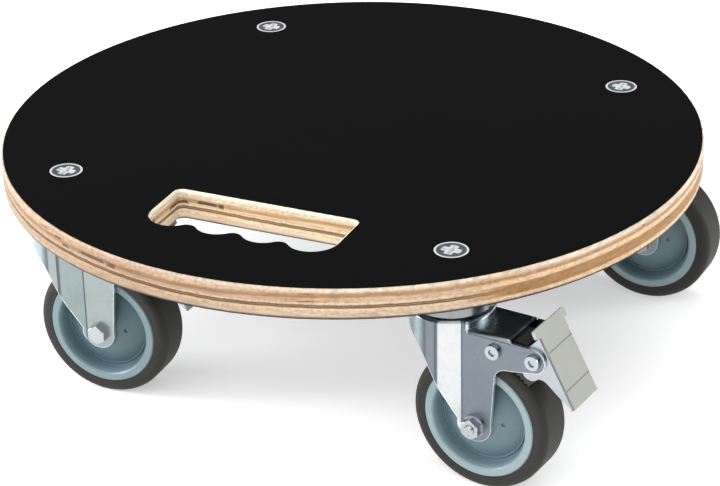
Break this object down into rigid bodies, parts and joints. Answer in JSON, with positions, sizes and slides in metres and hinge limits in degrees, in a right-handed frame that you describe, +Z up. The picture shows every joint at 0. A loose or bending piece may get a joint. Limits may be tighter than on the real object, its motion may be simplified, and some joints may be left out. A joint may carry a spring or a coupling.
{
  "type": "furniture dolly",
  "caption": "Round plywood furniture dolly with a grooved hand hole, on bolt-hole swivel casters; the front casters have foot pedal brakes.",
  "frame": {"origin": "on the floor under the deck's centre", "axes": "+Z up out of the deck; the hand hole is towards -Y, turned 2.7 degrees about the centre; the casters trail towards +X at rest"},
  "size_m": [0.3999, 0.4, 0.13],
  "materials": {
    "plywood": "sanded birch plywood edge, clear sealed",
    "phenolic_film": "smooth black phenolic film",
    "zinc_steel": "bright zinc plated pressed steel",
    "zinc_fastener": "zinc plated",
    "bearing_steel": "polished",
    "pedal_steel": "matt beige-grey plated steel",
    "brake_black": "matt black",
    "wheel_plastic": "moulded blue-grey polypropylene",
    "tyre": "matt dark grey thermoplastic rubber"
  },
  "bodies": {
    "deck": {"deck_board": "plywood", "deck_top_film": "phenolic_film", "deck_bottom_film": "phenolic_film", "mounting_bolts": "zinc_fastener", "mounting_washers": "zinc_fastener", "mounting_nuts": "zinc_fastener", "front_right_top_cup": "zinc_steel", "front_right_king_rivet": "zinc_steel", "front_right_lower_cup": "zinc_steel", "rear_right_top_cup": "zinc_steel", "rear_right_king_rivet": "zinc_steel", "rear_right_lower_cup": "zinc_steel", "rear_left_top_cup": "zinc_steel", "rear_left_king_rivet": "zinc_steel", "rear_left_lower_cup": "zinc_steel", "front_left_top_cup": "zinc_steel", "front_left_king_rivet": "zinc_steel", "front_left_lower_cup": "zinc_steel"},
    "front_right_swivel": {"front_right_fork": "zinc_steel", "front_right_bearing_balls": "bearing_steel", "front_right_axle_bolt": "zinc_fastener", "front_right_axle_nut": "zinc_fastener", "front_right_axle_bush": "zinc_fastener", "front_right_pedal_pin": "zinc_fastener", "front_right_shoe_pin": "zinc_fastener"},
    "front_right_wheel": {"front_right_wheel_rim": "wheel_plastic", "front_right_tyre": "tyre"},
    "front_right_brake_pedal": {"front_right_pedal": "pedal_steel"},
    "front_right_brake_shoe": {"front_right_brake_shoe": "brake_black", "front_right_brake_spring": "brake_black"},
    "rear_right_swivel": {"rear_right_fork": "zinc_steel", "rear_right_bearing_balls": "bearing_steel", "rear_right_axle_bolt": "zinc_fastener", "rear_right_axle_nut": "zinc_fastener", "rear_right_axle_bush": "zinc_fastener"},
    "rear_right_wheel": {"rear_right_wheel_rim": "wheel_plastic", "rear_right_tyre": "tyre"},
    "rear_left_swivel": {"rear_left_fork": "zinc_steel", "rear_left_bearing_balls": "bearing_steel", "rear_left_axle_bolt": "zinc_fastener", "rear_left_axle_nut": "zinc_fastener", "rear_left_axle_bush": "zinc_fastener"},
    "rear_left_wheel": {"rear_left_wheel_rim": "wheel_plastic", "rear_left_tyre": "tyre"},
    "front_left_swivel": {"front_left_fork": "zinc_steel", "front_left_bearing_balls": "bearing_steel", "front_left_axle_bolt": "zinc_fastener", "front_left_axle_nut": "zinc_fastener", "front_left_axle_bush": "zinc_fastener", "front_left_pedal_pin": "zinc_fastener", "front_left_shoe_pin": "zinc_fastener"},
    "front_left_wheel": {"front_left_wheel_rim": "wheel_plastic", "front_left_tyre": "tyre"},
    "front_left_brake_pedal": {"front_left_pedal": "pedal_steel"},
    "front_left_brake_shoe": {"front_left_brake_shoe": "brake_black", "front_left_brake_spring": "brake_black"}
  },
  "joints": [
    {"name": "front_right_swivel_turn", "type": "hinge", "parent": "deck", "child": "front_right_swivel", "pos_m": [0.118, -0.118, 0.1], "axis": [0, 0, 1], "continuous": true},
    {"name": "front_right_wheel_spin", "type": "hinge", "parent": "front_right_swivel", "child": "front_right_wheel", "pos_m": [0.14043, -0.1198, 0.04], "axis": [0.0802, 0.9968, 0], "continuous": true},
    {"name": "front_right_pedal_press", "type": "hinge", "parent": "front_right_swivel", "child": "front_right_brake_pedal", "pos_m": [0.17452, -0.12255, 0.087], "axis": [-0.0802, -0.9968, 0], "range_deg": [0, 28]},
    {"name": "front_right_shoe_lift", "type": "hinge", "parent": "front_right_swivel", "child": "front_right_brake_shoe", "pos_m": [0.15159, -0.1207, 0.087], "axis": [-0.0802, -0.9968, 0], "range_deg": [0, 7]},
    {"name": "rear_right_swivel_turn", "type": "hinge", "parent": "deck", "child": "rear_right_swivel", "pos_m": [0.118, 0.118, 0.1], "axis": [0, 0, 1], "continuous": true},
    {"name": "rear_right_wheel_spin", "type": "hinge", "parent": "rear_right_swivel", "child": "rear_right_wheel", "pos_m": [0.1405, 0.118, 0.04], "axis": [0, 1, 0], "continuous": true},
    {"name": "rear_left_swivel_turn", "type": "hinge", "parent": "deck", "child": "rear_left_swivel", "pos_m": [-0.118, 0.118, 0.1], "axis": [0, 0, 1], "continuous": true},
    {"name": "rear_left_wheel_spin", "type": "hinge", "parent": "rear_left_swivel", "child": "rear_left_wheel", "pos_m": [-0.09552, 0.11898, 0.04], "axis": [-0.0436, 0.999, 0], "continuous": true},
    {"name": "front_left_swivel_turn", "type": "hinge", "parent": "deck", "child": "front_left_swivel", "pos_m": [-0.118, -0.118, 0.1], "axis": [0, 0, 1], "continuous": true},
    {"name": "front_left_wheel_spin", "type": "hinge", "parent": "front_left_swivel", "child": "front_left_wheel", "pos_m": [-0.09555, -0.11655, 0.04], "axis": [-0.0645, 0.9979, 0], "continuous": true},
    {"name": "front_left_pedal_press", "type": "hinge", "parent": "front_left_swivel", "child": "front_left_brake_pedal", "pos_m": [-0.06142, -0.11434, 0.087], "axis": [0.0645, -0.9979, 0], "range_deg": [0, 28]},
    {"name": "front_left_shoe_lift", "type": "hinge", "parent": "front_left_swivel", "child": "front_left_brake_shoe", "pos_m": [-0.08437, -0.11582, 0.087], "axis": [0.0645, -0.9979, 0], "range_deg": [0, 7]}
  ],
  "couplings": [
    {"joint": "front_right_shoe_lift", "follows": "front_right_pedal_press", "ratio": 0.25},
    {"joint": "front_left_shoe_lift", "follows": "front_left_pedal_press", "ratio": 0.25}
  ]
}
